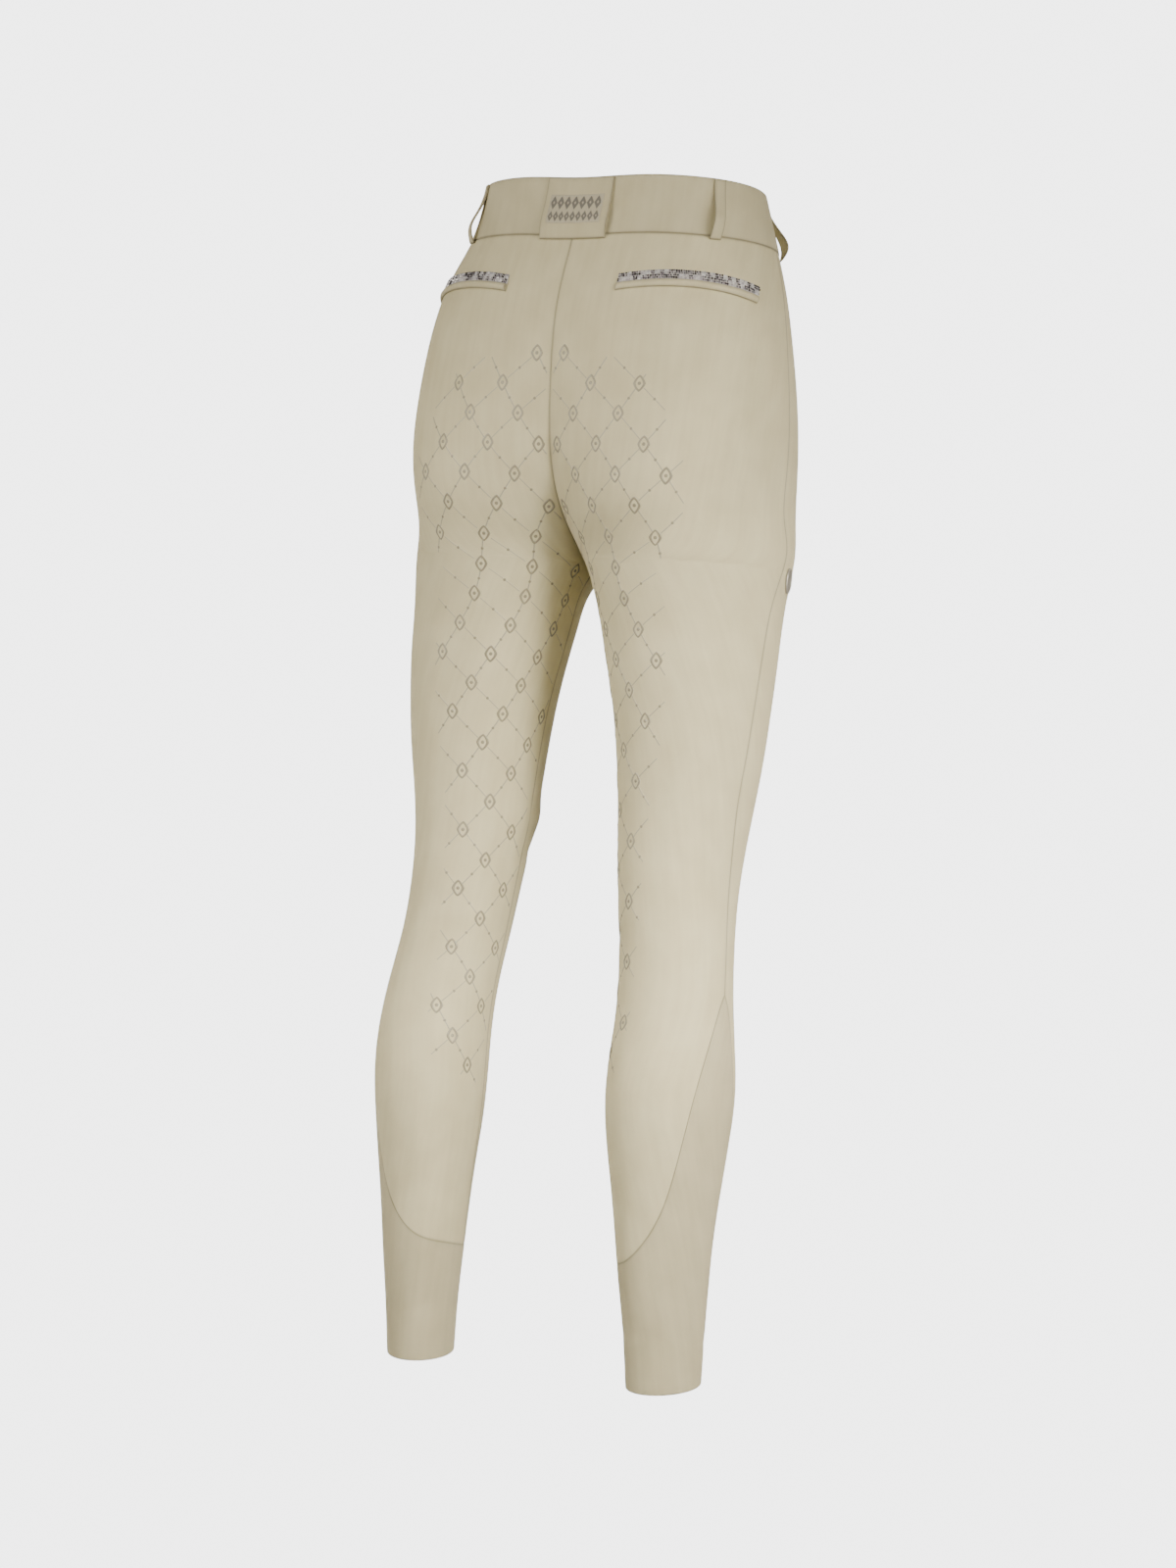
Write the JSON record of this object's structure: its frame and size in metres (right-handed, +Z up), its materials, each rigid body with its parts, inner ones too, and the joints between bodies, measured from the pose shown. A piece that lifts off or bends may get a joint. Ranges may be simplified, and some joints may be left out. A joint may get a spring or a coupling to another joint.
{
  "type": "riding breeches",
  "caption": "Women's full-seat riding breeches filled out as worn: stretch cloth, elastic lower-leg inserts, back pockets edged with small stones.",
  "frame": {"origin": "the middle of the waist's top edge, where the wearer holds the breeches up", "axes": "+Z up along the wearer, +X to the wearer's left, -Y to the wearer's front"},
  "size_m": [0.3381, 0.2465, 1.0138],
  "materials": {
    "stretch_cloth": "fine matt stretch weave, beige, with a faint sheen",
    "elastic_cloth": "denser elastic jersey, a shade darker than the panels",
    "band_cloth": "the same weave, doubled and stiffened",
    "label_weave": "woven patch, grey-beige, slightly silky",
    "stones": "strip of small faceted stones, silver, grey and pale lilac",
    "badge_metal": "polished dark metal plate, bare",
    "button_resin": "beige resin with a soft gloss"
  },
  "bodies": {
    "root": {"back_left": "stretch_cloth", "back_right": "stretch_cloth", "front_left": "stretch_cloth", "front_right": "stretch_cloth", "insert_left": "elastic_cloth", "insert_right": "elastic_cloth", "waistband": "band_cloth", "belt_loop_back_left": "band_cloth", "belt_loop_back_right": "band_cloth", "belt_loop_front_left": "band_cloth", "belt_loop_front_right": "band_cloth", "back_tab": "band_cloth", "back_label": "label_weave", "pocket_welt_left": "band_cloth", "pocket_welt_right": "band_cloth", "pocket_stones_left": "stones", "pocket_stones_right": "stones", "thigh_badge": "badge_metal", "front_button": "button_resin"}
  },
  "joints": []
}
